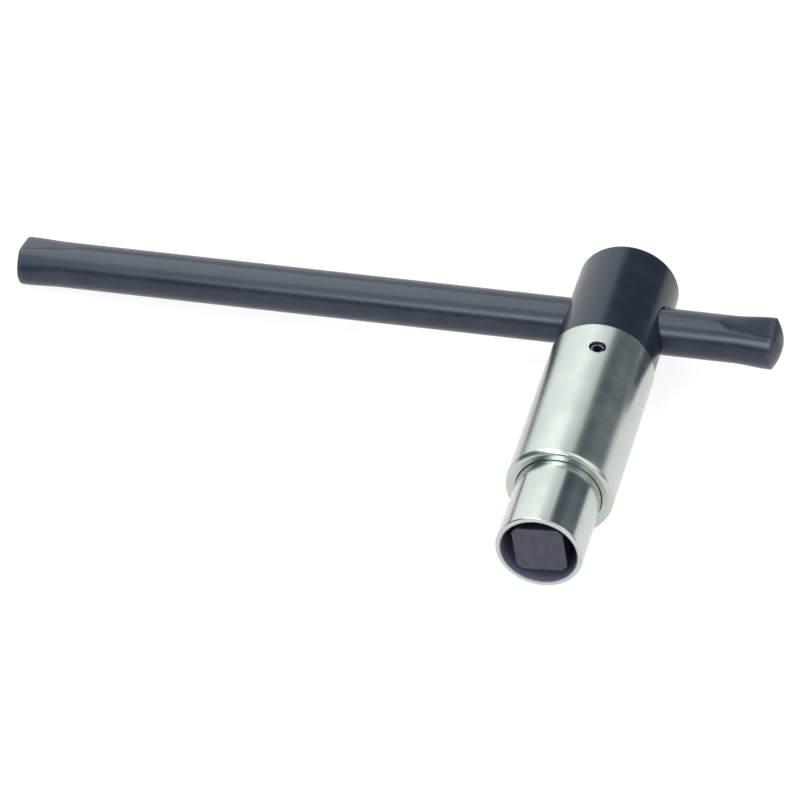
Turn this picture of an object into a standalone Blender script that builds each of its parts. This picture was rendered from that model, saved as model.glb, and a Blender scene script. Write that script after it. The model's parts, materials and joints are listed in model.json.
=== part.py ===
"""Spring-ejector chuck key: a cross-drilled spindle with a square drive, a sliding
T-bar, a fixed outer housing and a spring-loaded sleeve that pushes the key out of
the chuck. Each piece is first built on the tool's own axes: the tool axis runs along
-Y towards the drive, the T-bar along X, and the origin is where the two axes meet.
At the end the whole tool is laid down on the floor, z = 0."""

import math

import bpy
from mathutils import Matrix, Vector

MM = 0.001

# T-bar: a round bar whose two ends are squeezed between flats, so that they spread
# sideways and can't pass back through the head
BAR_R = 6.0 * MM
BAR_EDGE = 0.3 * MM
SHORT_END = {
    "rim": 40.9 * MM,
    "length": 13.8 * MM,
    "half_thickness": 4.8 * MM,
    "half_width": 6.35 * MM,
    "corner_r": 6.75 * MM,
    "crown": 2.3 * MM,
    "turn": math.radians(4.2),
}
LONG_END = {
    "rim": -158.4 * MM,
    "length": 15.5 * MM,
    "half_thickness": 5.15 * MM,
    "half_width": 6.5 * MM,
    "corner_r": 6.38 * MM,
    "crown": 0.9 * MM,
    "turn": math.radians(-9.9),
}

# spindle: head, spigot, shank and square in one piece
HEAD_R = 13.0 * MM
HEAD_END = -16.9 * MM
HEAD_CHAMFER = 1.0 * MM
HEAD_SHOULDER = 15.6 * MM
SPIGOT_R = 11.6 * MM
SPIGOT_END = 29.0 * MM
SHANK_R = 8.0 * MM
SQUARE_START = 64.0 * MM
SQUARE_END = 85.4 * MM
SQUARE_ACROSS_FLATS = 12.5 * MM
SQUARE_TURN = math.radians(4.9)
SQUARE_CHAMFER = 0.35 * MM
CROSS_HOLE_R = 6.3 * MM
CROSS_HOLE_CHAMFER = 1.1 * MM

# outer housing, pinned to the spigot
HOUSING_R = 13.35 * MM
HOUSING_BORE_R = 11.9 * MM
HOUSING_START = 15.9 * MM
HOUSING_END = 65.1 * MM
HOUSING_NOSE_R = 1.9 * MM
LIP_BORE_R = 11.05 * MM
LIP_BACK = 61.4 * MM

# spring pin through housing and spigot
PIN_Z = 24.5 * MM
PIN_TURN = math.radians(5.0)
PIN_HOLE_R = 2.2 * MM
PIN_R = 1.9 * MM
PIN_WALL = 0.65 * MM
PIN_SLOT_DEG = 34.0
PIN_HALF_LENGTH = 12.6 * MM

# ejector sleeve, at rest against the housing's lip
SLEEVE_R = 10.65 * MM
SLEEVE_BORE_R = 9.28 * MM
SLEEVE_END = 86.3 * MM
SLEEVE_TAIL = 58.4 * MM
FLANGE_R = 11.6 * MM
FLANGE_FRONT = 61.1 * MM
SLEEVE_EDGE = 0.3 * MM

# spring and its two washers
WIRE_R = 0.7 * MM
COIL_R = 10.1 * MM
COIL_TURNS = 6.5
SPRING_START = 30.6 * MM
SPRING_END = 57.0 * MM
DEAD_TURNS = 1.0
DEAD_PITCH = 1.55 * MM
SEAT_WASHER = (29.3 * MM, 30.3 * MM)
THRUST_WASHER = (57.3 * MM, 58.1 * MM)
WASHER_BORE_R = 8.4 * MM
WASHER_R = 11.5 * MM

ROUND = 96


def clear_scene():
    for obj in list(bpy.data.objects):
        bpy.data.objects.remove(obj, do_unlink=True)


def metal(name, colour, roughness):
    made = bpy.data.materials.new(name)
    made.use_nodes = True
    shader = made.node_tree.nodes["Principled BSDF"]
    shader.inputs["Base Color"].default_value = (*colour, 1.0)
    shader.inputs["Metallic"].default_value = 1.0
    shader.inputs["Roughness"].default_value = roughness
    made.diffuse_color = (*colour, 1.0)
    return made


def finish(name, points, faces, material, origin=(0.0, 0.0, 0.0)):
    """Makes the object with its own origin at the given point of the tool's axes."""
    start = Vector(origin)
    mesh = bpy.data.meshes.new(name)
    mesh.from_pydata([Vector(p) - start for p in points], [], faces)
    mesh.validate()
    mesh.update()
    obj = bpy.data.objects.new(name, mesh)
    obj.location = start
    bpy.context.scene.collection.objects.link(obj)
    if material is not None:
        mesh.materials.append(material)
    mesh.shade_smooth()
    mesh.set_sharp_from_angle(angle=math.radians(28.0))
    return obj


def skin(rings, closed):
    """Quads between rings of equal length. A ring of one point is a pole."""
    points = [p for ring in rings for p in ring]
    starts = []
    total = 0
    for ring in rings:
        starts.append(total)
        total += len(ring)
    pairs = list(zip(range(len(rings)), range(1, len(rings))))
    if closed:
        pairs.append((len(rings) - 1, 0))
    faces = []
    for one, two in pairs:
        a, b = starts[one], starts[two]
        count = max(len(rings[one]), len(rings[two]))
        for i in range(count):
            j = (i + 1) % count
            if len(rings[one]) == 1:
                faces.append((a, b + j, b + i))
            elif len(rings[two]) == 1:
                faces.append((a + i, a + j, b))
            else:
                faces.append((a + i, a + j, b + j, b + i))
    return points, faces


def even_angles(count=ROUND):
    return [2 * math.pi * i / count for i in range(count)]


def on_tool_axis(radius, along, angle):
    return (radius * math.cos(angle), -along, radius * math.sin(angle))


def turned(profile, angles):
    """Rings about the tool axis. A profile entry is (distance along, radius), and the
    radius may be a function of the angle."""
    rings = []
    for along, radius in profile:
        if callable(radius):
            rings.append([on_tool_axis(radius(t), along, t) for t in angles])
        elif radius == 0:
            rings.append([on_tool_axis(0.0, along, 0.0)])
        else:
            rings.append([on_tool_axis(radius, along, t) for t in angles])
    return rings


def cutter(name, points, faces):
    obj = finish(name, points, faces, None)
    obj.hide_render = True
    obj.display_type = "WIRE"
    return obj


def cut(target, tool):
    modifier = target.modifiers.new("cut by " + tool.name, "BOOLEAN")
    modifier.operation = "DIFFERENCE"
    modifier.solver = "EXACT"
    modifier.object = tool


def rod_along(direction, profile, count):
    """Rings about any axis through the origin. A profile entry is (along, radius)."""
    turn = Vector((0, 0, 1)).rotation_difference(direction)
    rings = []
    for along, radius in profile:
        ring = []
        for t in even_angles(count):
            spot = Vector((radius * math.cos(t), radius * math.sin(t), along))
            ring.append(turn @ spot)
            if radius == 0:
                break
        rings.append(ring)
    return rings


def square_angles():
    """Angles that put vertices on the square's corners, used for the whole spindle."""
    corner = math.acos(SQUARE_ACROSS_FLATS / 2 / SHANK_R)
    found = []
    for side in range(4):
        middle = SQUARE_TURN + side * math.pi / 2
        for i in range(22):
            found.append(middle - corner + 2 * corner * i / 22)
        for i in range(2):
            found.append(middle + corner + (math.pi / 2 - 2 * corner) * i / 2)
    return found


def square_radius(inset):
    half = SQUARE_ACROSS_FLATS / 2 - inset

    def radius(angle):
        turned_by = angle - SQUARE_TURN
        widest = max(abs(math.cos(turned_by)), abs(math.sin(turned_by)))
        return min(SHANK_R - inset, half / widest)

    return radius


def make_spindle(material):
    profile = [
        (HEAD_END, 0),
        (HEAD_END, HEAD_R - HEAD_CHAMFER),
        (HEAD_END + HEAD_CHAMFER, HEAD_R),
        (HEAD_SHOULDER - 0.2 * MM, HEAD_R),
        (HEAD_SHOULDER, HEAD_R - 0.2 * MM),
        (HEAD_SHOULDER, SPIGOT_R),
        (SPIGOT_END - 0.5 * MM, SPIGOT_R),
        (SPIGOT_END, SPIGOT_R - 0.5 * MM),
        (SPIGOT_END, SHANK_R),
        (SQUARE_START, SHANK_R),
        (SQUARE_START + 0.4 * MM, square_radius(0.0)),
        (SQUARE_END - SQUARE_CHAMFER, square_radius(0.0)),
        (SQUARE_END, square_radius(SQUARE_CHAMFER)),
        (SQUARE_END, 0),
    ]
    points, faces = skin(turned(profile, square_angles()), closed=False)
    spindle = finish("spindle", points, faces, material)

    reach = HEAD_R + 2 * MM
    flare = CROSS_HOLE_CHAMFER + reach - HEAD_R
    hole = [
        (-reach, 0),
        (-reach, CROSS_HOLE_R + flare),
        (-reach + flare, CROSS_HOLE_R),
        (reach - flare, CROSS_HOLE_R),
        (reach, CROSS_HOLE_R + flare),
        (reach, 0),
    ]
    points, faces = skin(rod_along(Vector((1, 0, 0)), hole, 72), closed=False)
    cut(spindle, cutter("cutter_bar_hole", points, faces))
    return spindle


def make_housing(material):
    nose = HOUSING_END - HOUSING_NOSE_R
    profile = [
        (HOUSING_START, HOUSING_BORE_R),
        (HOUSING_START, HOUSING_R - 0.25 * MM),
        (HOUSING_START + 0.25 * MM, HOUSING_R),
        (nose, HOUSING_R),
    ]
    for i in range(1, 8):
        t = math.radians(90 * i / 7)
        out = HOUSING_R - HOUSING_NOSE_R
        profile.append((nose + HOUSING_NOSE_R * math.sin(t), out + HOUSING_NOSE_R * math.cos(t)))
    profile += [
        (HOUSING_END, LIP_BORE_R + 0.15 * MM),
        (HOUSING_END - 0.15 * MM, LIP_BORE_R),
        (LIP_BACK, LIP_BORE_R),
        (LIP_BACK, HOUSING_BORE_R),
    ]
    points, faces = skin(turned(profile, even_angles()), closed=True)
    return finish("outer_housing", points, faces, material)


def pin_direction():
    return Vector((math.sin(PIN_TURN), 0, math.cos(PIN_TURN)))


def make_pin_hole():
    reach = 15.0 * MM
    profile = [(-reach, 0), (-reach, PIN_HOLE_R), (reach, PIN_HOLE_R), (reach, 0)]
    rings = rod_along(pin_direction(), profile, 40)
    rings = [[p + Vector((0, -PIN_Z, 0)) for p in ring] for ring in rings]
    points, faces = skin(rings, closed=False)
    return cutter("cutter_pin_hole", points, faces)


def make_pin(material):
    """A slotted spring pin: a C-shaped tube with small chamfers at both ends."""
    turn = Vector((0, 0, 1)).rotation_difference(pin_direction())
    half_slot = math.radians(PIN_SLOT_DEG / 2)
    steps = 34
    sweep = [half_slot + (2 * math.pi - 2 * half_slot) * i / steps for i in range(steps + 1)]
    inner = PIN_R - PIN_WALL
    rings = []
    for along, outer in (
        (-PIN_HALF_LENGTH, PIN_R - 0.25 * MM),
        (-PIN_HALF_LENGTH + 0.5 * MM, PIN_R),
        (PIN_HALF_LENGTH - 0.5 * MM, PIN_R),
        (PIN_HALF_LENGTH, PIN_R - 0.25 * MM),
    ):
        outline = [(outer * math.cos(t), outer * math.sin(t)) for t in sweep]
        outline += [(inner * math.cos(t), inner * math.sin(t)) for t in reversed(sweep)]
        shift = Vector((0, -PIN_Z, 0))
        rings.append([turn @ Vector((x, y, along)) + shift for x, y in outline])
    points, faces = skin(rings, closed=False)
    count = len(rings[0])
    for start, flip in ((0, True), (3 * count, False)):
        for i in range(steps):
            quad = (start + i, start + i + 1, start + count - 2 - i, start + count - 1 - i)
            faces.append(quad[::-1] if flip else quad)
    return finish("fixing_pin", points, faces, material, (0, -PIN_Z, 0))


def make_sleeve(material):
    profile = [
        (SLEEVE_TAIL, SLEEVE_BORE_R),
        (SLEEVE_TAIL, FLANGE_R - 0.2 * MM),
        (SLEEVE_TAIL + 0.2 * MM, FLANGE_R),
        (FLANGE_FRONT, FLANGE_R),
        (FLANGE_FRONT, SLEEVE_R),
        (SLEEVE_END - SLEEVE_EDGE, SLEEVE_R),
        (SLEEVE_END, SLEEVE_R - SLEEVE_EDGE),
        (SLEEVE_END, SLEEVE_BORE_R + SLEEVE_EDGE / 2),
        (SLEEVE_END - SLEEVE_EDGE / 2, SLEEVE_BORE_R),
    ]
    points, faces = skin(turned(profile, even_angles()), closed=True)
    return finish("ejector_sleeve", points, faces, material, (0, -SLEEVE_TAIL, 0))


def make_washer(name, span, material):
    start, end = span
    edge = 0.15 * MM
    profile = [
        (start, WASHER_BORE_R),
        (start, WASHER_R - edge),
        (start + edge, WASHER_R),
        (end - edge, WASHER_R),
        (end, WASHER_R - edge),
        (end, WASHER_BORE_R),
    ]
    points, faces = skin(turned(profile, even_angles(72)), closed=True)
    return finish(name, points, faces, material, (0, -start, 0))


def make_spring(material):
    """A round-wire compression spring with one closed coil at each end."""
    per_turn, around = 28, 10
    steps = round(COIL_TURNS * per_turn)
    first = SPRING_START + WIRE_R
    span = SPRING_END - WIRE_R - first
    live = (span - 2 * DEAD_TURNS * DEAD_PITCH) / (COIL_TURNS - 2 * DEAD_TURNS)
    rings = []
    along = first
    for i in range(steps + 1):
        turns = i / per_turn
        if i:
            dead = turns <= DEAD_TURNS + 1e-6 or turns > COIL_TURNS - DEAD_TURNS + 1e-6
            along += (DEAD_PITCH if dead else live) / per_turn
        t = 2 * math.pi * turns
        ring = []
        for k in range(around):
            s = 2 * math.pi * k / around
            spot = on_tool_axis(COIL_R + WIRE_R * math.cos(s), along + WIRE_R * math.sin(s), t)
            ring.append(spot)
        rings.append(ring)
    points, faces = skin(rings, closed=False)
    faces.append(tuple(reversed(range(around))))
    faces.append(tuple(range(steps * around, (steps + 1) * around)))
    faces = [face[::-1] for face in faces]
    return finish("ejector_spring", points, faces, material, (0, -SPRING_START, 0))


def bar_section(along, corner_r, half_thickness, half_width, turn, scale=1.0):
    """One ring of the T-bar: flats above and below, joined by two round sides."""
    half_thickness = min(half_thickness, corner_r * math.cos(math.radians(3.0)))
    edge = math.sqrt(corner_r * corner_r - half_thickness * half_thickness)
    middle = (half_width**2 - corner_r**2) / (2 * (half_width - edge))
    side_r = half_width - middle
    side_half = math.atan2(half_thickness, edge - middle)
    ring = []
    for side in (1, -1):
        for i in range(10):
            ring.append((side * edge * (1 - i / 5), side * half_thickness))
        for i in range(22):
            t = side_half * (1 - i / 11)
            ring.append((-side * (middle + side_r * math.cos(t)), side * side_r * math.sin(t)))
    c, s = math.cos(turn) * scale, math.sin(turn) * scale
    return [(along, y * c - z * s, y * s + z * c) for y, z in ring]


def bar_end(end, outward):
    """Rings from the plain bar out to the middle of the crowned end face."""
    rings = []
    steps = 12
    for i in range(steps + 1):
        share = (i / steps) ** 2
        along = end["rim"] - outward * end["length"] * (1 - share)
        if share == 1:
            along -= outward * BAR_EDGE
        corner_r = BAR_R + (end["corner_r"] - BAR_R) * share
        thick = BAR_R + (end["half_thickness"] - BAR_R) * share**0.45
        width = BAR_R + (end["half_width"] - BAR_R) * share
        rings.append(bar_section(along, corner_r, thick, width, end["turn"]))
    for scale in (0.96, 0.85, 0.7, 0.5, 0.25):
        along = end["rim"] + outward * end["crown"] * (1 - scale * scale)
        shape = (end["corner_r"], end["half_thickness"], end["half_width"])
        rings.append(bar_section(along, *shape, end["turn"], scale))
    rings.append([(end["rim"] + outward * end["crown"], 0.0, 0.0)])
    return rings


def make_bar(material):
    rings = list(reversed(bar_end(LONG_END, -1))) + bar_end(SHORT_END, 1)
    points, faces = skin(rings, closed=False)
    return finish("t_bar", points, faces, material)


def lay_down(pieces, helpers, bar):
    """Rolls the tool about its own axis until the housing and the long end of the T-bar
    both rest on the floor, then puts the origin under the middle of its box."""
    low, high = 0.0, math.radians(10.0)
    spots = [bar.matrix_basis @ v.co for v in bar.data.vertices]
    for _ in range(50):
        roll = (low + high) / 2
        lowest = min(p.x * math.sin(roll) + p.z * math.cos(roll) for p in spots)
        if lowest > -HOUSING_R:
            low = roll
        else:
            high = roll
    turn = Matrix.Rotation(-roll, 4, "Y")
    corners = []
    for obj in pieces:
        place = turn @ obj.matrix_basis
        corners += [place @ v.co for v in obj.data.vertices]
    middle_x = (min(p.x for p in corners) + max(p.x for p in corners)) / 2
    middle_y = (min(p.y for p in corners) + max(p.y for p in corners)) / 2
    place = Matrix.Translation((-middle_x, -middle_y, HOUSING_R)) @ turn
    for obj in pieces + helpers:
        obj.matrix_world = place @ obj.matrix_basis
    print("roll", math.degrees(roll), "tool axis at x", -middle_x, "bar axis at y", -middle_y)


def main():
    clear_scene()
    black = metal("black_oxide_steel", (0.035, 0.04, 0.055), 0.38)
    black_bar = metal("black_oxide_bar", (0.045, 0.05, 0.065), 0.42)
    zinc = metal("bright_zinc_housing", (0.72, 0.75, 0.74), 0.28)
    zinc_sleeve = metal("bright_zinc_sleeve", (0.76, 0.78, 0.78), 0.24)
    spring_steel = metal("spring_steel", (0.32, 0.31, 0.3), 0.35)
    pin_steel = metal("pin_steel", (0.16, 0.16, 0.17), 0.45)
    washer_steel = metal("washer_steel", (0.5, 0.5, 0.5), 0.4)

    bar = make_bar(black_bar)
    spindle = make_spindle(black)
    housing = make_housing(zinc)
    pin_hole = make_pin_hole()
    cut(spindle, pin_hole)
    cut(housing, pin_hole)
    pieces = [
        spindle,
        bar,
        housing,
        make_pin(pin_steel),
        make_washer("spring_seat_washer", SEAT_WASHER, washer_steel),
        make_spring(spring_steel),
        make_washer("thrust_washer", THRUST_WASHER, washer_steel),
        make_sleeve(zinc_sleeve),
    ]
    helpers = [bpy.data.objects["cutter_bar_hole"], pin_hole]
    lay_down(pieces, helpers, bar)


main()
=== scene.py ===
"""Looks for the spring-ejector chuck key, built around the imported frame.

The tool's own axes: local X runs along the T-bar, local -Y along the tool axis out of
the drive end, and the local origin is where the two axes cross. Lengths are in metres."""

import json
import math

import bmesh
import bpy
from mathutils import Matrix, Vector


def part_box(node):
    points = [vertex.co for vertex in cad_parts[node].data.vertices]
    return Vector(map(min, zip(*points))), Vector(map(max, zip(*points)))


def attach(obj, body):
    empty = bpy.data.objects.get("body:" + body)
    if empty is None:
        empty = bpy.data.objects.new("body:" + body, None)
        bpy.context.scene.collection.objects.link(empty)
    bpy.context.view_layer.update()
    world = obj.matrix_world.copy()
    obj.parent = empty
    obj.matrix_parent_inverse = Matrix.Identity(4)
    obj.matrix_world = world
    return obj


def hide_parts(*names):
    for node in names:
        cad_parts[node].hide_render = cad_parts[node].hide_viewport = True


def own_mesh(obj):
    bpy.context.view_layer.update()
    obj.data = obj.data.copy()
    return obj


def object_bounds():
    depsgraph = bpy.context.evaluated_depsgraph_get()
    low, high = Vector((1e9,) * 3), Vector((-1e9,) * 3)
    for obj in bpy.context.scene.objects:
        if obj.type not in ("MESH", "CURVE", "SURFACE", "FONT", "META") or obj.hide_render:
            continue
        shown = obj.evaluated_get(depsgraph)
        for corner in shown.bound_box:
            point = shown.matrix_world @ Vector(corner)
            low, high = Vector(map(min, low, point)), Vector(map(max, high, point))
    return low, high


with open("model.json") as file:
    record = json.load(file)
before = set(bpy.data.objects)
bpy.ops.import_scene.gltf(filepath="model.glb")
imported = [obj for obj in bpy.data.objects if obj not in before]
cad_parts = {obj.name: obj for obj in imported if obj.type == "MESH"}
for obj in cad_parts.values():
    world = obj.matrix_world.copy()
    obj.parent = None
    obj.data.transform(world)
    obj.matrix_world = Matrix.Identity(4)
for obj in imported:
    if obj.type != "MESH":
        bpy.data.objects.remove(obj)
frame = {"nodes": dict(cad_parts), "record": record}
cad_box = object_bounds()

MM = 0.001

# ---------------------------------------------------------------- where the tool lies

housing_low, housing_high = (Vector(c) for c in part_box("outer_housing"))
spindle_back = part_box("spindle")[1][1]
HEAD_END = -16.9 * MM
bar_joint = next(j for j in frame["record"]["behaviour"]["joints"] if j["name"] == "bar_slide")
bar_way = Vector(bar_joint["axis"]).normalized()
up_way = Vector((-bar_way.z, 0, bar_way.x))
crossing = Vector((
    (housing_low.x + housing_high.x) / 2,
    spindle_back + HEAD_END,
    (housing_low.z + housing_high.z) / 2,
))
PLACE = Matrix.Translation(crossing) @ Matrix((bar_way, (0, 1, 0), up_way)).transposed().to_4x4()


# ---------------------------------------------------------------- dimensions

# They are the CAD's, but for the rounding of edges, a slightly tighter fixing hole, and
# the lip's bore, which is drawn close round the sleeve, as on the real tool. A place
# along the tool axis is counted from the bar's axis towards the drive.
HEAD_R = 13.0 * MM
HEAD_SHOULDER = 15.6 * MM
SPIGOT_R, SPIGOT_END = 11.6 * MM, 29.0 * MM
SHANK_R = 8.0 * MM
SQUARE_START, SQUARE_END = 64.0 * MM, 85.4 * MM
SQUARE_HALF = 6.25 * MM
SQUARE_TURN = math.radians(-4.9)
CROSS_HOLE_R, CROSS_HOLE_CHAMFER = 6.3 * MM, 1.1 * MM
PIN_Z, PIN_TURN = 24.5 * MM, math.radians(5.0)
PIN_HOLE_R, PIN_HOLE_CHAMFER = 2.15 * MM, 0.12 * MM
SLEEVE_R, SLEEVE_BORE_R = 10.65 * MM, 9.28 * MM
SLEEVE_TAIL, SLEEVE_END = 58.4 * MM, 86.3 * MM
FLANGE_R, FLANGE_FRONT = 11.6 * MM, 61.1 * MM
HOUSING_R, HOUSING_BORE_R = 13.35 * MM, 11.9 * MM
HOUSING_START, HOUSING_END = 15.9 * MM, 65.1 * MM
LIP_BORE_R, LIP_BACK = SLEEVE_R + 0.12 * MM, 61.4 * MM
WIRE_R, COIL_R, COIL_TURNS = 0.7 * MM, 10.1 * MM, 6.5
SPRING_START, SPRING_END = 30.6 * MM, 57.0 * MM
BAR_R = 6.0 * MM

# The bar's swaged ends: where the rim is along the bar, the swage's length, half the
# thickness over its flats and half the width at the rim, how far the metal would reach
# across the flats without them, the rise of the end's crown, and the turn about the bar.
SHORT_END = {
    "rim": 40.9 * MM, "length": 13.8 * MM, "thick": 4.8 * MM, "wide": 6.35 * MM,
    "across": 6.75 * MM, "crown": 2.3 * MM, "turn": math.radians(4.2),
}
LONG_END = {
    "rim": -158.4 * MM, "length": 15.5 * MM, "thick": 5.15 * MM, "wide": 6.5 * MM,
    "across": 6.38 * MM, "crown": 0.9 * MM, "turn": math.radians(-9.9),
}

AROUND_TUBE = 240  # points round the spindle, the housing and the sleeve
AROUND_BAR = 256
AROUND_CROSS_HOLE, AROUND_PIN_HOLE = 160, 72

# ---------------------------------------------------------------- material helpers


class Nodes:
    """Short calls for the nodes that these materials use."""

    def __init__(self, name):
        self.material = bpy.data.materials.new(name)
        self.material.use_nodes = True
        self.tree = self.material.node_tree
        self.shader = self.tree.nodes["Principled BSDF"]
        framed = self.tree.nodes.new("ShaderNodeTexCoord").outputs["Object"]
        back = {"vector_type": "TEXTURE"}
        place = {"Location": PLACE.to_translation(), "Rotation": PLACE.to_euler()}
        self.coords = self.add("ShaderNodeMapping", back, Vector=framed, **place).outputs[0]

    def put(self, socket, value):
        if isinstance(value, bpy.types.NodeSocket):
            self.tree.links.new(value, socket)
        else:
            socket.default_value = value

    def add(self, kind, settings=None, **inputs):
        made = self.tree.nodes.new(kind)
        for key, value in (settings or {}).items():
            setattr(made, key, value)
        for key, value in inputs.items():
            self.put(made.inputs[key.replace("_", " ")], value)
        return made

    def set(self, **values):
        for key, value in values.items():
            self.put(self.shader.inputs[key.replace("_", " ")], value)

    def math(self, operation, one, two=0.0):
        made = self.add("ShaderNodeMath", {"operation": operation})
        self.put(made.inputs[0], one)
        self.put(made.inputs[1], two)
        return made.outputs[0]

    def stretch(self, scale):
        return self.add("ShaderNodeMapping", Scale=scale, Vector=self.coords).outputs[0]

    def noise(self, scale, detail=3.0, rough=0.5, source=None, warp=0.0):
        made = self.add("ShaderNodeTexNoise", Scale=scale, Detail=detail, Roughness=rough, Distortion=warp)
        self.put(made.inputs["Vector"], source or self.coords)
        return made.outputs["Fac"]

    def span(self, value, low, high, to_low=0.0, to_high=1.0):
        """Carries value smoothly from low..high to to_low..to_high, and holds it there outside."""
        smooth = {"interpolation_type": "SMOOTHSTEP"}
        ends = {"From Min": low, "From Max": high, "To Min": to_low, "To Max": to_high}
        return self.add("ShaderNodeMapRange", smooth, Value=value, **ends).outputs[0]

    def blend(self, share, one, two):
        made = self.add("ShaderNodeMix", {"data_type": "RGBA"}, Factor=share)
        for socket, colour in ((made.inputs[6], one), (made.inputs[7], two)):
            self.put(socket, (*colour, 1.0) if isinstance(colour, tuple) else colour)
        return made.outputs[2]

    def axis_of(self, letter):
        return self.add("ShaderNodeSeparateXYZ", Vector=self.coords).outputs[letter]

    def off_axis(self):
        """Distance from the tool axis."""
        crosswise = self.add("ShaderNodeVectorMath", {"operation": "MULTIPLY"})
        self.put(crosswise.inputs[0], self.coords)
        crosswise.inputs[1].default_value = (1, 0, 1)
        length = self.add("ShaderNodeVectorMath", {"operation": "LENGTH"})
        self.put(length.inputs[0], crosswise.outputs[0])
        return length.outputs["Value"]

    def near(self, value, place, reach):
        """1 where value is at place, 0 from reach away."""
        away = self.math("ABSOLUTE", self.math("SUBTRACT", value, place))
        return self.span(away, 0.0, reach, 1.0, 0.0)

    def bumps(self, *layers):
        """Each layer is (height, strength, distance)."""
        normal = None
        for height, strength, distance in layers:
            made = self.add("ShaderNodeBump", Strength=strength, Distance=distance, Height=height)
            if normal is not None:
                self.put(made.inputs["Normal"], normal)
            normal = made.outputs[0]
        self.put(self.shader.inputs["Normal"], normal)


def turning_lines(n, per_mm=9.0):
    """Fine grooves round the tool axis, on cylinders and end faces alike, uneven from one
    to the next."""
    drift = n.math("MULTIPLY", n.noise(45, 1.0), 0.6 * MM)
    along = n.math("ADD", n.axis_of("Y"), drift)
    out = n.math("ADD", n.off_axis(), drift)
    where = n.add("ShaderNodeCombineXYZ", X=along, Y=out).outputs[0]
    fine = n.noise(per_mm * 1000, 2.0, 0.6, where)
    broad = n.noise(per_mm * 180, 2.0, 0.5, where)
    return n.math("ADD", n.math("MULTIPLY", fine, 0.6), n.math("MULTIPLY", broad, 0.4))


OXIDE_DEEP, OXIDE_LIGHT, OXIDE_DUSTY = (0.014, 0.020, 0.034), (0.019, 0.026, 0.041), (0.024, 0.029, 0.041)
OXIDE_WORN = (0.042, 0.041, 0.056)


def black_oxide(name, lengthwise, tone_and_shade, edges):
    """Oiled black-oxide steel. Its grain runs along the bar if lengthwise, else round the
    tool axis. The third argument scales its colour: the part's own tone, and on the head,
    which it makes darker than the bar, also painted shade. edges are (axis letter, place,
    reach) where it is worn."""
    n = Nodes(name)
    cloud = n.noise(140, 4, 0.6)
    fleck = n.noise(1100, 3, 0.65)
    deep, light, dusty = (
        tuple(part * tone_and_shade for part in colour) for colour in (OXIDE_DEEP, OXIDE_LIGHT, OXIDE_DUSTY)
    )
    colour = n.blend(n.span(cloud, 0.35, 0.65), deep, light)
    colour = n.blend(n.span(fleck, 0.6, 0.8, 0.0, 0.3), colour, dusty)
    worn = None
    for letter, place, reach in edges:
        one = n.near(n.axis_of(letter), place, reach)
        worn = one if worn is None else n.math("MAXIMUM", worn, one)
    ragged = n.math("MULTIPLY", worn, n.span(n.noise(420, 3, 0.5), 0.38, 0.68, 0.5, 0.85))
    colour = n.blend(ragged, colour, OXIDE_WORN)
    if lengthwise:
        grain = n.noise(1.0, 3, 0.6, n.stretch((60, 3500, 3500)))
    else:
        grain = turning_lines(n)
    gloss = n.math("ADD", n.span(cloud, 0.3, 0.7, 0.235, 0.27), n.span(grain, 0.35, 0.65, -0.008, 0.014))
    gloss = n.math("ADD", gloss, n.span(fleck, 0.6, 0.8, 0.0, 0.03))
    n.set(Base_Color=colour, Metallic=0.0, Roughness=gloss, IOR=1.44)
    n.set(Specular_Tint=(0.88, 0.95, 1.0, 1.0))
    n.bumps((grain, 0.02, 0.02 * MM), (fleck, 0.004, 0.03 * MM), (n.noise(260, 2), 0.006, 0.2 * MM))
    return n


ZINC_DULL, ZINC_BRIGHT, ZINC_SPANGLE = (0.475, 0.513, 0.475), (0.518, 0.55, 0.508), (0.47, 0.50, 0.49)
ZINC_UNPLATED = (0.09, 0.094, 0.14)


def zinc(name, roughness, dull):
    """Bright zinc plating over turned steel, with faint clouds in the passivation, which
    are up to dull rougher. Inside the sleeve's bore the steel is dark and matt."""
    n = Nodes(name)
    cloud = n.noise(120, 2, 0.5, warp=0.3)
    spangle = n.noise(800, 3, 0.6)
    colour = n.blend(n.span(cloud, 0.32, 0.68), ZINC_DULL, ZINC_BRIGHT)
    colour = n.blend(n.span(spangle, 0.5, 0.8, 0.0, 0.15), colour, ZINC_SPANGLE)
    inside = n.span(n.off_axis(), SLEEVE_BORE_R + 0.2 * MM, SLEEVE_BORE_R + 0.4 * MM, 1.0, 0.0)
    colour = n.blend(inside, colour, ZINC_UNPLATED)
    lines = turning_lines(n, 7.0)
    cloudy = n.span(cloud, 0.3, 0.7, roughness, roughness + dull)
    gloss = n.math("ADD", cloudy, n.span(spangle, 0.45, 0.8, 0.0, 0.015))
    gloss = n.math("ADD", gloss, n.math("MULTIPLY", inside, 0.3))
    n.set(Base_Color=colour, Metallic=n.span(inside, 0.0, 1.0, 1.0, 0.0), Roughness=gloss)
    n.bumps((lines, 0.02, 0.02 * MM), (spangle, 0.003, 0.03 * MM), (n.noise(200, 2), 0.008, 0.2 * MM))
    return n


def steel(name, colour, roughness):
    """Plain bright or oiled steel, clouded between its colour and a darker one."""
    n = Nodes(name)
    cloud = n.noise(500, 4, 0.6)
    darker = tuple(c * 0.72 for c in colour)
    n.set(Base_Color=n.blend(n.span(cloud, 0.3, 0.7), darker, colour), Metallic=1.0)
    n.set(Roughness=n.span(cloud, 0.3, 0.7, roughness, roughness + 0.14))
    n.bumps((n.noise(3000, 2), 0.15, 0.02 * MM))
    return n


# ---------------------------------------------------------------- shape helpers


def make_object(name, points, faces, materials=()):
    mesh = bpy.data.meshes.new(name)
    mesh.from_pydata(points, [], faces)
    mesh.validate()
    for material in materials:
        mesh.materials.append(material)
    obj = bpy.data.objects.new(name, mesh)
    bpy.context.scene.collection.objects.link(obj)
    return obj


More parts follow.
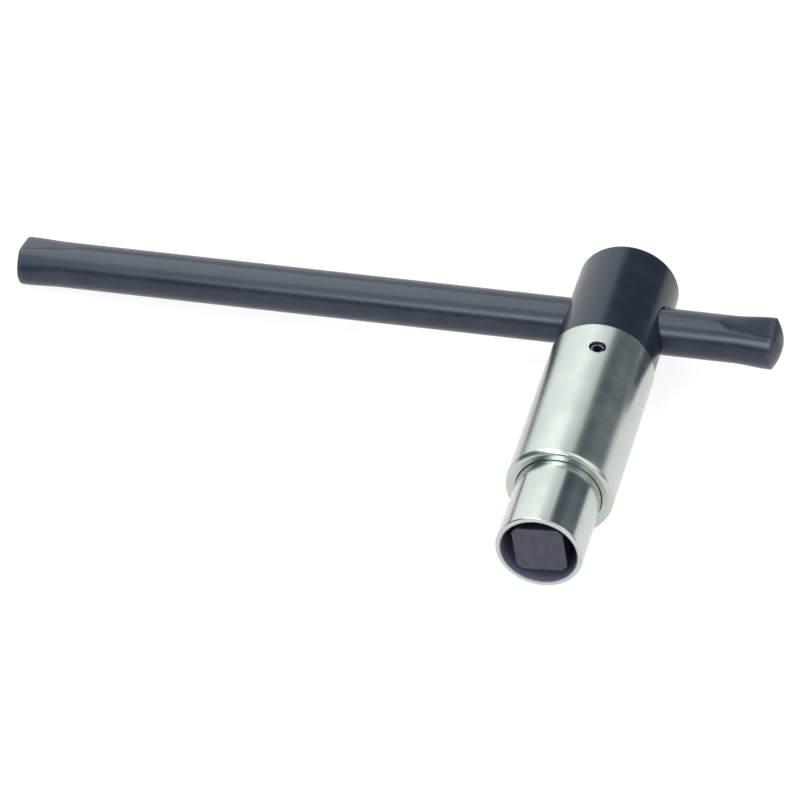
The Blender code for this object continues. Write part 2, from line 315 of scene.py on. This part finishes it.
def skin(rings, closed=False):
    """Points and faces of a surface over rings of equal count, or of one point."""
    points = [p for ring in rings for p in ring]
    starts = [0]
    for ring in rings:
        starts.append(starts[-1] + len(ring))
    pairs = [(i, i + 1) for i in range(len(rings) - 1)]
    if closed:
        pairs.append((len(rings) - 1, 0))
    faces = []
    for one, two in pairs:
        a, b = starts[one], starts[two]
        count = max(len(rings[one]), len(rings[two]))
        for i in range(count):
            j = (i + 1) % count
            if len(rings[one]) == 1:
                faces.append((a, b + j, b + i))
            elif len(rings[two]) == 1:
                faces.append((a + i, a + j, b))
            else:
                faces.append((a + i, a + j, b + j, b + i))
    return points, faces


def rounded(corners, steps=5):
    """A turned profile with its corners rounded. A corner is (along, radius, rounding)."""
    found = []
    for i, (along, radius, rounding) in enumerate(corners):
        if not rounding:
            found.append((along, radius))
            continue
        here = Vector((along, radius))
        one = Vector(corners[i - 1][:2]) - here
        two = Vector(corners[(i + 1) % len(corners)][:2]) - here
        angle = one.angle(two)
        reach = min(rounding / math.tan(angle / 2), one.length * 0.49, two.length * 0.49)
        start, end = here + one.normalized() * reach, here + two.normalized() * reach
        inward = (one.normalized() + two.normalized()).normalized()
        centre = here + inward * (reach / math.cos(angle / 2))
        for k in range(steps + 1):
            spoke = (start - centre).lerp(end - centre, k / steps)
            spot = centre + spoke.normalized() * (start - centre).length
            found.append((spot.x, max(spot.y, 0.0)))
    return found


def circle(radius, count):
    """Points round a circle, or its middle alone where the radius is 0."""
    turns = [2 * math.pi * k / count for k in range(count if radius else 1)]
    return [(radius * math.cos(t), radius * math.sin(t)) for t in turns]


def lathe(profile, closed=False):
    """A body turned about the tool axis."""
    rings = [[(x, -along, z) for x, z in circle(radius, AROUND_TUBE)] for along, radius in profile]
    return skin(rings, closed)


def rod(way, profile, count, shift=(0, 0, 0)):
    """A body turned about an axis that runs in the direction way through shift."""
    turn = Vector((0, 0, 1)).rotation_difference(Vector(way))
    return skin([
        [turn @ Vector((x, y, along)) + Vector(shift) for x, y in circle(radius, count)]
        for along, radius in profile
    ])


def shade(obj):
    obj.data.shade_smooth()
    obj.data.set_sharp_from_angle(angle=math.radians(30))


ON_THE_ROUND = 0.9975  # cosine of the most that a facet leans from the surface it stands for
SQUARE_ON = 0.9999


def steady_normals(obj, cross_hole=False):
    """Gives every face that lies on a true cylinder about the tool axis, or in the bar's
    hole, the cylinder's own normals, so that long faces shade evenly beside small ones."""
    mesh = obj.data
    shade(obj)
    found = [Vector(n.vector) for n in mesh.corner_normals]
    for face in mesh.polygons:
        flat = face.normal
        for index in face.loop_indices:
            spot = mesh.vertices[mesh.loops[index].vertex_index].co
            around = Vector((spot.x, 0, spot.z))
            if around.length < 1e-6:
                continue
            around.normalize()
            if abs(flat.dot(around)) > ON_THE_ROUND:
                found[index] = around if flat.dot(around) > 0 else -around
            elif abs(flat.y) > SQUARE_ON:
                found[index] = Vector((0, math.copysign(1.0, flat.y), 0))
            elif cross_hole:
                inward = -Vector((0, spot.y, spot.z)).normalized()
                if flat.dot(inward) > ON_THE_ROUND:
                    found[index] = inward
    mesh.normals_split_custom_set(found)


def carve(obj, *tools):
    """Cuts the tools out of obj, and removes them."""
    for tool in tools:
        made = obj.modifiers.new("cut", "BOOLEAN")
        made.solver = "EXACT"
        made.object = tool
    graph = bpy.context.evaluated_depsgraph_get()
    mesh = bpy.data.meshes.new_from_object(obj.evaluated_get(graph))
    obj.modifiers.clear()
    obj.data = mesh
    for tool in tools:
        bpy.data.objects.remove(tool, do_unlink=True)


# ---------------------------------------------------------------- materials

head_edges = [("Y", -HEAD_END, 1.4 * MM), ("Y", -SQUARE_END, 0.9 * MM)]
bar_edges = [("X", 40.5 * MM, 1.6 * MM), ("X", -158.1 * MM, 1.6 * MM)]
# The head's colour is scaled to 0.65 against the bar's 0.8: partly the parts' own tone, partly painted
# shade that makes the head's dimmer reflections darker.
shaded_head_black = black_oxide("black_oxide_head_shaded", False, 0.65, head_edges)
bar_black = black_oxide("black_oxide_bar", True, 0.8, bar_edges)
zinc_housing = zinc("zinc_housing", 0.25, 0.035)
zinc_sleeve = zinc("zinc_sleeve", 0.19, 0.03)
spring_steel = steel("spring_steel", (0.30, 0.29, 0.28), 0.28)
pin_steel = steel("pin_steel", (0.24, 0.24, 0.30), 0.35)
washer_steel = steel("washer_steel", (0.50, 0.50, 0.50), 0.30)


# ---------------------------------------------------------------- pieces


def cross_hole_shape():
    """The bar's hole through the head, with both mouths chamfered."""
    reach = HEAD_R + 2 * MM
    flare = CROSS_HOLE_CHAMFER + reach - HEAD_R
    mouth = CROSS_HOLE_R + flare
    profile = [
        (-reach, 0), (-reach, mouth), (-reach + flare, CROSS_HOLE_R),
        (reach - flare, CROSS_HOLE_R), (reach, mouth), (reach, 0),
    ]
    return rod((1, 0, 0), profile, AROUND_CROSS_HOLE)


def pin_hole_shape(chamfer=0.0):
    """The cross hole for the fixing pin, with both mouths chamfered at the housing's skin."""
    half = 15 * MM
    start = HOUSING_R - chamfer
    mouth = PIN_HOLE_R + (half - start if chamfer else 0.0)
    profile = [
        (-half, 0), (-half, mouth), (-start, PIN_HOLE_R),
        (start, PIN_HOLE_R), (half, mouth), (half, 0),
    ]
    way = (math.sin(PIN_TURN), 0, math.cos(PIN_TURN))
    return rod(way, profile, AROUND_PIN_HOLE, (0, -PIN_Z, 0))


def flat_cutter(side):
    """A block whose one face is a flat of the square drive."""
    far = 20 * MM
    turn = Matrix.Rotation(SQUARE_TURN + side * math.pi / 2, 3, "Y")
    corners = [
        turn @ Vector((x, y, z))
        for x in (SQUARE_HALF, far) for y in (-SQUARE_START, -SQUARE_END - 5 * MM) for z in (-far, far)
    ]
    faces = [(0, 1, 3, 2), (4, 6, 7, 5), (0, 4, 5, 1), (2, 3, 7, 6), (0, 2, 6, 4), (1, 5, 7, 3)]
    block = make_object(f"cut_flat_{side}", corners, faces)
    whole = bmesh.new()
    whole.from_mesh(block.data)
    bmesh.ops.recalc_face_normals(whole, faces=whole.faces)
    whole.to_mesh(block.data)
    whole.free()
    return block


def spindle_piece():
    profile = rounded([
        (HEAD_END, 0.0, 0), (HEAD_END, HEAD_R, 1.0 * MM),
        (HEAD_SHOULDER, HEAD_R, 0.2 * MM), (HEAD_SHOULDER, SPIGOT_R, 0),
        (SPIGOT_END, SPIGOT_R, 0.4 * MM), (SPIGOT_END, SHANK_R, 0),
        (SQUARE_END, SHANK_R, 0.25 * MM), (SQUARE_END, 0.0, 0),
    ])
    obj = make_object("spindle_body", *lathe(profile), [shaded_head_black.material])
    holes = [make_object("cut_hole", *cross_hole_shape()), make_object("cut_pin", *pin_hole_shape())]
    carve(obj, *holes, *(flat_cutter(side) for side in range(4)))
    steady_normals(obj, cross_hole=True)
    return obj


def housing_piece():
    profile = rounded([
        (HOUSING_START, HOUSING_BORE_R, 0), (HOUSING_START, HOUSING_R, 0.25 * MM),
        (HOUSING_END, HOUSING_R, 2.3 * MM), (HOUSING_END, LIP_BORE_R, 0.15 * MM),
        (LIP_BACK, LIP_BORE_R, 0), (LIP_BACK, HOUSING_BORE_R, 0),
    ], steps=9)
    obj = make_object("housing_tube", *lathe(profile, closed=True), [zinc_housing.material])
    carve(obj, make_object("cut_pin", *pin_hole_shape(PIN_HOLE_CHAMFER)))
    steady_normals(obj)
    return obj


def sleeve_piece():
    profile = rounded([
        (SLEEVE_TAIL, SLEEVE_BORE_R, 0), (SLEEVE_TAIL, FLANGE_R, 0.15 * MM),
        (FLANGE_FRONT, FLANGE_R, 0.1 * MM), (FLANGE_FRONT, SLEEVE_R, 0),
        (SLEEVE_END, SLEEVE_R, 0.3 * MM), (SLEEVE_END, SLEEVE_BORE_R, 0.2 * MM),
    ])
    obj = make_object("sleeve_tube", *lathe(profile, closed=True), [zinc_sleeve.material])
    steady_normals(obj)
    return obj


def bar_ring(along, end, share, scale=1.0):
    """One ring of the bar. share runs from 0, round stock, to 1, the swaged end's rim. The
    sides start to spread a quarter of the way along, the flats meet them in soft edges, and
    the lower outer corner hardly spreads."""
    drop = (BAR_R - end["thick"]) * share**0.9
    along_spread = max(0.0, (share - 0.25) / 0.75)
    spread = along_spread**2 * (3 - 2 * along_spread)
    soft = min(2 * drop, 0.7 * MM)
    ring = []
    for k in range(AROUND_BAR):
        angle = 2 * math.pi * k / AROUND_BAR
        c, s = math.cos(angle - end["turn"]), math.sin(angle - end["turn"])
        worn_corner = 2.0 * max(0.0, math.sin(angle)) * max(0.0, -math.cos(angle))
        bulge = (end["wide"] - BAR_R) * c * c + (end["across"] - BAR_R) * s * s * 1.1
        side = BAR_R + spread * bulge * (1 - worn_corner)
        flat = (BAR_R - drop) / max(abs(s), 1e-6)
        r = min(side, flat)
        if soft > 0:
            r -= max(soft - abs(side - flat), 0.0) ** 2 / soft / 4
        ring.append((along, r * scale * math.cos(angle), r * scale * math.sin(angle)))
    return ring


def bar_end(end, outward, swage_steps=70, edge_steps=8, crown_steps=24):
    """Rings from the round stock out to the middle of the crowned end. outward is 1 or -1."""
    round_off = 0.55 * MM
    rim, crown, half_width = end["rim"], end["crown"], end["wide"]
    rings = []
    for i in range(swage_steps + 1):
        share = i / swage_steps
        along = rim - outward * (end["length"] * (1 - share) + round_off * share)
        rings.append(bar_ring(along, end, share))
    lean = math.pi / 2 - math.atan(2 * crown / half_width)
    for i in range(1, edge_steps + 1):
        turned = lean * i / edge_steps
        foot = rim - outward * round_off * (1 - math.sin(turned))
        first = 1 - round_off * (1 - math.cos(turned)) / half_width
        rings.append(bar_ring(foot, end, 1.0, first))
    for i in range(1, crown_steps):
        share = 1 - i / crown_steps
        rise = crown * (first**2 - (first * share) ** 2)
        rings.append(bar_ring(foot + outward * rise, end, 1.0, first * share))
    rings.append([(foot + outward * crown * first**2, 0.0, 0.0)])
    return rings


def bar_piece():
    left = list(reversed(bar_end(LONG_END, -1)))
    right = bar_end(SHORT_END, 1)
    start, stop = left[-1][0][0], right[0][0][0]
    middle = [bar_ring(start + (stop - start) * i / 60, SHORT_END, 0.0) for i in range(1, 60)]
    obj = make_object("handle_bar", *skin(left + middle + right), [bar_black.material])
    obj.data.shade_smooth()
    return obj


def spring_piece():
    """The coil, with one dead turn at each end."""
    per_turn, around = 72, 20
    dead_pitch = 1.55 * MM
    steps = round(COIL_TURNS * per_turn)
    first = SPRING_START + WIRE_R
    live_pitch = (SPRING_END - WIRE_R - first - 2 * dead_pitch) / (COIL_TURNS - 2)
    rings, along = [], first
    for i in range(steps + 1):
        turns = i / per_turn
        if i:
            dead = turns <= 1 + 1e-6 or turns > COIL_TURNS - 1 + 1e-6
            along += (dead_pitch if dead else live_pitch) / per_turn
        t = 2 * math.pi * turns
        ring = []
        for k in range(around):
            s = -2 * math.pi * k / around
            r = COIL_R + WIRE_R * math.cos(s)
            ring.append((r * math.cos(t), -(along + WIRE_R * math.sin(s)), r * math.sin(t)))
        rings.append(ring)
    points, faces = skin(rings)
    faces.append(tuple(reversed(range(around))))
    faces.append(tuple(range(steps * around, (steps + 1) * around)))
    obj = make_object("coil_spring", points, faces, [spring_steel.material])
    shade(obj)
    return obj


spindle = spindle_piece()
housing = housing_piece()
sleeve = sleeve_piece()
bar = bar_piece()
spring = spring_piece()

for piece, node, body, slot in (
    (spindle, "spindle", "key_body", "black_oxide_steel"),
    (housing, "outer_housing", "key_body", "bright_zinc_housing"),
    (spring, "ejector_spring", "key_body", "spring_steel"),
    (sleeve, "ejector_sleeve", "ejector", "bright_zinc_sleeve"),
    (bar, "t_bar", "sliding_handle", "black_oxide_bar"),
):
    piece.data.transform(PLACE)
    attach(piece, body)
    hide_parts(node)

for node, finish in (
    ("fixing_pin", pin_steel),
    ("spring_seat_washer", washer_steel),
    ("thrust_washer", washer_steel),
):
    for place in frame["nodes"][node].material_slots:
        place.material = finish.material

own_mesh(spring)

# ---------------------------------------------------------------- floor


def pale_floor():
    """A pale matt floor that glows a little, so that what stands on it throws a faint shadow."""
    n = Nodes("pale_floor")
    n.set(Base_Color=n.blend(n.noise(6, 2), (0.16, 0.16, 0.16), (0.17, 0.17, 0.17)), Roughness=0.7)
    n.set(Specular_IOR_Level=0.0, Emission_Color=(1.0, 1.0, 1.0, 1.0), Emission_Strength=0.87)
    return n.material


FLOOR_HALF = 3.0
floor_corners = [(x * FLOOR_HALF, y * FLOOR_HALF, 0) for x, y in ((-1, -1), (1, -1), (1, 1), (-1, 1))]
floor = make_object("floor", floor_corners, [(0, 1, 2, 3)], [pale_floor()])
floor.location.z = cad_box[0][2] - 0.2 * MM

# ---------------------------------------------------------------- light and camera

AIM = Vector((0.0121, -0.0056, 0.01335))


def direction(azimuth, elevation):
    a, e = math.radians(azimuth), math.radians(elevation)
    return Vector((math.sin(a) * math.cos(e), -math.cos(a) * math.cos(e), math.sin(e)))


def softbox(name, towards, distance, size, radiance, colour=(1, 1, 1), roll=0, slide=0, in_gloss=True):
    """A soft light of even brightness, seen from AIM in the direction towards. It is rolled
    by roll degrees in its own plane, and moved along its own width by slide. One that isn't
    in_gloss lights surfaces without being reflected in them."""
    data = bpy.data.lights.new(name, "AREA")
    data.shape = "RECTANGLE"
    data.size, data.size_y = size
    data.energy = radiance * math.pi * size[0] * size[1]
    data.color = colour
    light = bpy.data.objects.new(name, data)
    facing = towards.to_track_quat("Z", "Y").to_matrix()
    if abs(towards.z) > 0.8:
        across = (Vector((1, 0, 0)) - towards * towards.x).normalized()
        facing = Matrix((across, towards.cross(across), towards)).transposed()
    facing = facing @ Matrix.Rotation(math.radians(roll), 3, "Z")
    light.rotation_euler = facing.to_euler()
    light.location = AIM + towards * distance + facing.col[0] * slide
    light.visible_glossy = in_gloss
    bpy.context.scene.collection.objects.link(light)
    return light


# One panel behind the tool, in two parts side by side, because the right part is flagged
# off the spindle.
back_way, back_tint = direction(-159, 23.5), (0.98, 1.0, 0.97)
softbox("back_left", back_way, 2.2, (1.67, 1.9), 1.3, colour=back_tint, roll=-8, slide=0.515)
back = softbox("back", back_way, 2.2, (0.95, 1.9), 1.3, colour=back_tint, roll=-8, slide=-0.795)
flagged = bpy.data.collections.new("flagged_from_back_light")
flagged.objects.link(spindle)
flagged.collection_objects[0].light_linking.link_state = "EXCLUDE"
back.light_linking.receiver_collection = flagged

softbox("overhead_left", Vector((-0.42, 0.14, 0.893)).normalized(), 2.0, (1.3, 2.3), 3.7, roll=8)
softbox("overhead", Vector((0.32, 0.0, 1.0)).normalized(), 2.0, (1.3, 1.5), 1.3)
softbox("front", direction(-10, 34.5), 1.8, (0.75, 0.44), 8.0, colour=(0.9, 0.95, 1.0), roll=50)
softbox("front_left", direction(-29, 48), 1.8, (0.8, 0.9), 2.0, colour=(0.95, 0.97, 1.0))
softbox("front_right", direction(86, 32), 2.2, (4.2, 1.5), 0.85)
softbox("front_low", direction(28, 13), 2.2, (1.7, 0.9), 0.8)
softbox("rim", direction(50.8, 45.2), 1.8, (1.5, 0.42), 2.4, roll=-62)
softbox("fill_front", direction(0, 16), 2.5, (2.0, 1.2), 2.5, in_gloss=False)
for turn in range(5):
    softbox(f"fill_{turn}", direction(20 + 72 * turn, 42), 3.0, (2.2, 2.2), 0.6, in_gloss=False)

world = bpy.data.worlds.new("studio")
bpy.context.scene.world = world
world.use_nodes = True
background = world.node_tree.nodes["Background"]
background.inputs["Color"].default_value = (0.56, 0.74, 1.0, 1)
background.inputs["Strength"].default_value = 0.14

CAMERA_DISTANCE, CAMERA_ROLL = 0.987, math.radians(-1.4)
camera_data = bpy.data.cameras.new("camera")
camera_data.sensor_width = 36
camera_data.lens = 179.2
camera = bpy.data.objects.new("camera", camera_data)
bpy.context.scene.collection.objects.link(camera)
camera_way = direction(15.48, 40.71)
facing = camera_way.to_track_quat("Z", "Y").to_matrix().to_4x4()
stand = Matrix.Translation(AIM + camera_way * CAMERA_DISTANCE)
camera.matrix_world = stand @ facing @ Matrix.Rotation(CAMERA_ROLL, 4, "Z")
bpy.context.scene.camera = camera
bpy.context.scene.view_settings.view_transform = "Standard"
